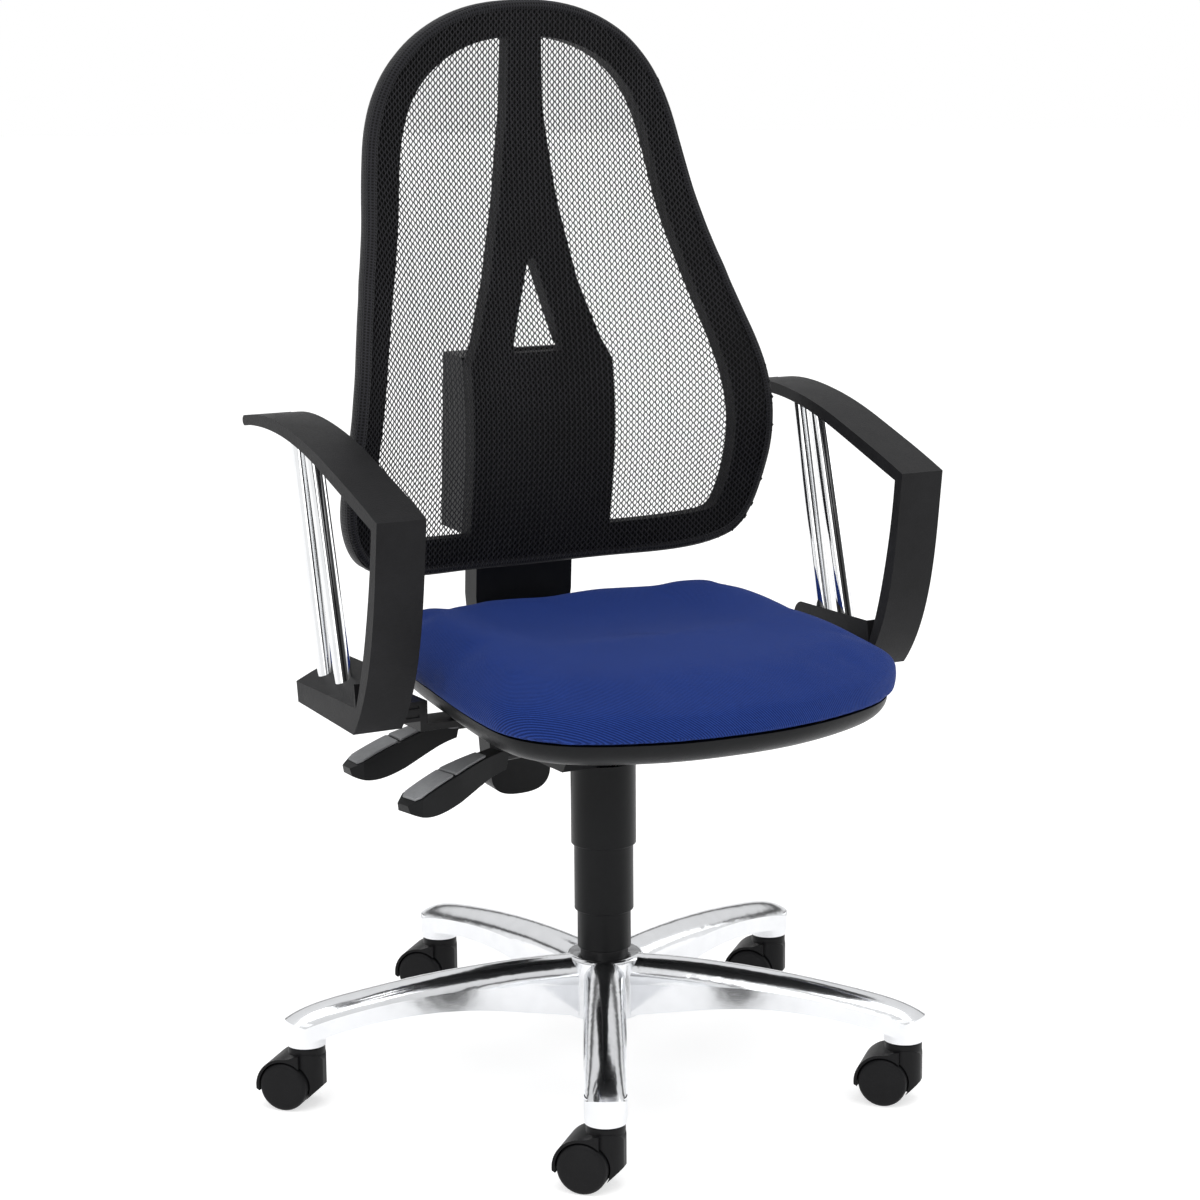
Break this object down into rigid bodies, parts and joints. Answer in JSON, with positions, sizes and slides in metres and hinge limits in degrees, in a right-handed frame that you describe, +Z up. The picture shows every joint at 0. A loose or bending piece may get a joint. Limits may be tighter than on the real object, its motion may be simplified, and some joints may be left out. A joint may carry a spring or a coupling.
{
  "type": "swivel office chair",
  "caption": "Swivel office chair with a mesh back on a height-adjustable upright, padded contoured seat, ribbon armrests with chrome rods, gas lift and five-star castered base.",
  "frame": {"origin": "on the floor, on the column's axis", "axes": "+Z up; the sitter faces -Y, so the backrest is at +Y and the two levers are at -X"},
  "size_m": [0.6833, 0.669, 1.1081],
  "materials": {
    "polished_aluminium": "polished",
    "chrome": "mirror bright",
    "bright_steel": "ground",
    "screw_steel": "blackened",
    "black_steel": "satin powder coat",
    "black_plastic": "fine grain",
    "arm_plastic": "fine grain",
    "frame_plastic": "fine grain",
    "caster_plastic": "fine grain",
    "wheel_plastic": "satin",
    "grey_plastic": "satin",
    "nylon": "natural",
    "wood": "raw plywood",
    "blue_fabric": "fine twill",
    "black_mesh": "knitted mesh"
  },
  "bodies": {
    "base": {"base_star": "polished_aluminium", "caster_sockets": "black_plastic", "gas_lift_tube": "black_steel", "gas_lift_bush": "nylon", "thrust_bearing": "bright_steel", "column_cover_lower": "black_plastic"},
    "lift_rod": {"piston_rod": "bright_steel", "rod_clip": "bright_steel", "gas_piston": "bright_steel"},
    "middle_cover": {"column_cover_middle": "black_plastic"},
    "seat": {"gas_cylinder": "bright_steel", "column_cover_upper": "black_plastic", "mechanism_housing": "black_plastic", "seat_plate": "black_steel", "tilt_pin": "bright_steel", "tilt_pin_clips": "bright_steel", "tilt_springs": "bright_steel", "seat_shell": "black_plastic", "seat_board": "wood", "seat_cushion": "blue_fabric", "seat_screws": "screw_steel", "arm_bracket_left": "black_steel", "arm_bracket_right": "black_steel", "armrest_left": "arm_plastic", "armrest_right": "arm_plastic", "arm_rods_left": "chrome", "arm_rods_right": "chrome"},
    "release": {"release_button": "bright_steel"},
    "height_lever": {"height_lever_rod": "black_steel", "height_lever_grip": "black_plastic", "height_lever_pads": "grey_plastic"},
    "recline_lever": {"recline_lever_rod": "black_steel", "recline_lever_grip": "black_plastic", "recline_lever_pads": "grey_plastic"},
    "back_support": {"back_bracket": "black_steel", "back_bracket_screws": "screw_steel", "back_upright": "black_steel", "back_upright_cover": "black_plastic"},
    "backrest": {"back_frame": "frame_plastic", "back_mesh": "black_mesh", "back_carrier_front": "black_plastic", "back_carrier_rear": "black_plastic", "back_carrier_screws": "screw_steel"},
    "catch": {"height_catch": "bright_steel"},
    "caster_1": {"caster_1_housing": "caster_plastic", "caster_1_pins": "bright_steel"},
    "caster_1_roller": {"caster_1_wheels": "wheel_plastic"},
    "caster_2": {"caster_2_housing": "caster_plastic", "caster_2_pins": "bright_steel"},
    "caster_2_roller": {"caster_2_wheels": "wheel_plastic"},
    "caster_3": {"caster_3_housing": "caster_plastic", "caster_3_pins": "bright_steel"},
    "caster_3_roller": {"caster_3_wheels": "wheel_plastic"},
    "caster_4": {"caster_4_housing": "caster_plastic", "caster_4_pins": "bright_steel"},
    "caster_4_roller": {"caster_4_wheels": "wheel_plastic"},
    "caster_5": {"caster_5_housing": "caster_plastic", "caster_5_pins": "bright_steel"},
    "caster_5_roller": {"caster_5_wheels": "wheel_plastic"}
  },
  "joints": [
    {"name": "seat_swivel", "type": "hinge", "parent": "base", "child": "lift_rod", "pos_m": [0, 0, 0.1], "axis": [0, 0, 1], "continuous": true},
    {"name": "seat_height", "type": "slide", "parent": "lift_rod", "child": "seat", "axis": [0, 0, 1], "range_m": [-0.07, 0.05]},
    {"name": "cover_slide", "type": "slide", "parent": "base", "child": "middle_cover", "axis": [0, 0, 1], "range_m": [-0.036, 0.026]},
    {"name": "height_lever_lift", "type": "hinge", "parent": "seat", "child": "height_lever", "pos_m": [-0.0605, -0.038, 0.37], "axis": [-0.1736, 0.9848, 0], "range_deg": [0, 7], "stiffness_Nm_per_rad": 6, "springref_deg": -5.73},
    {"name": "release_press", "type": "slide", "parent": "seat", "child": "release", "axis": [0, 0, -1], "range_m": [0, 0.004]},
    {"name": "recline_lever_lift", "type": "hinge", "parent": "seat", "child": "recline_lever", "pos_m": [-0.0605, 0.05, 0.381], "axis": [0, 1, 0], "range_deg": [0, 7], "stiffness_Nm_per_rad": 6, "springref_deg": -5.73},
    {"name": "back_tilt", "type": "hinge", "parent": "seat", "child": "back_support", "pos_m": [0, 0.075, 0.362], "axis": [-1, 0, 0], "range_deg": [0, 20], "stiffness_Nm_per_rad": 60, "springref_deg": -20.05},
    {"name": "back_height", "type": "slide", "parent": "back_support", "child": "backrest", "axis": [0, -0.0598, 0.9982], "range_m": [0, 0.06]},
    {"name": "catch_release", "type": "slide", "parent": "backrest", "child": "catch", "axis": [0, 0.9982, 0.0598], "range_m": [0, 0.0003], "stiffness_N_per_m": 200, "springref_m": -0.002},
    {"name": "caster_1_swivel", "type": "hinge", "parent": "base", "child": "caster_1", "pos_m": [-0.15758, -0.27851, 0.066], "axis": [0, 0, 1], "continuous": true},
    {"name": "caster_1_roll", "type": "hinge", "parent": "caster_1", "child": "caster_1_roller", "pos_m": [-0.16928, -0.26618, 0.025], "axis": [-0.7254, -0.6884, 0], "continuous": true},
    {"name": "caster_2_swivel", "type": "hinge", "parent": "base", "child": "caster_2", "pos_m": [0.21619, -0.23593, 0.066], "axis": [0, 0, 1], "continuous": true},
    {"name": "caster_2_roll", "type": "hinge", "parent": "caster_2", "child": "caster_2_roller", "pos_m": [0.20449, -0.2236, 0.025], "axis": [-0.7254, -0.6884, 0], "continuous": true},
    {"name": "caster_3_swivel", "type": "hinge", "parent": "base", "child": "caster_3", "pos_m": [0.29119, 0.1327, 0.066], "axis": [0, 0, 1], "continuous": true},
    {"name": "caster_3_roll", "type": "hinge", "parent": "caster_3", "child": "caster_3_roller", "pos_m": [0.27949, 0.14503, 0.025], "axis": [-0.7254, -0.6884, 0], "continuous": true},
    {"name": "caster_4_swivel", "type": "hinge", "parent": "base", "child": "caster_4", "pos_m": [-0.03623, 0.31794, 0.066], "axis": [0, 0, 1], "continuous": true},
    {"name": "caster_4_roll", "type": "hinge", "parent": "caster_4", "child": "caster_4_roller", "pos_m": [-0.04793, 0.33027, 0.025], "axis": [-0.7254, -0.6884, 0], "continuous": true},
    {"name": "caster_5_swivel", "type": "hinge", "parent": "base", "child": "caster_5", "pos_m": [-0.31358, 0.0638, 0.066], "axis": [0, 0, 1], "continuous": true},
    {"name": "caster_5_roll", "type": "hinge", "parent": "caster_5", "child": "caster_5_roller", "pos_m": [-0.32528, 0.07613, 0.025], "axis": [-0.7254, -0.6884, 0], "continuous": true}
  ],
  "couplings": [
    {"joint": "cover_slide", "follows": "seat_height", "ratio": 0.5},
    {"joint": "release_press", "follows": "height_lever_lift", "m_per_rad": 0.0325}
  ]
}
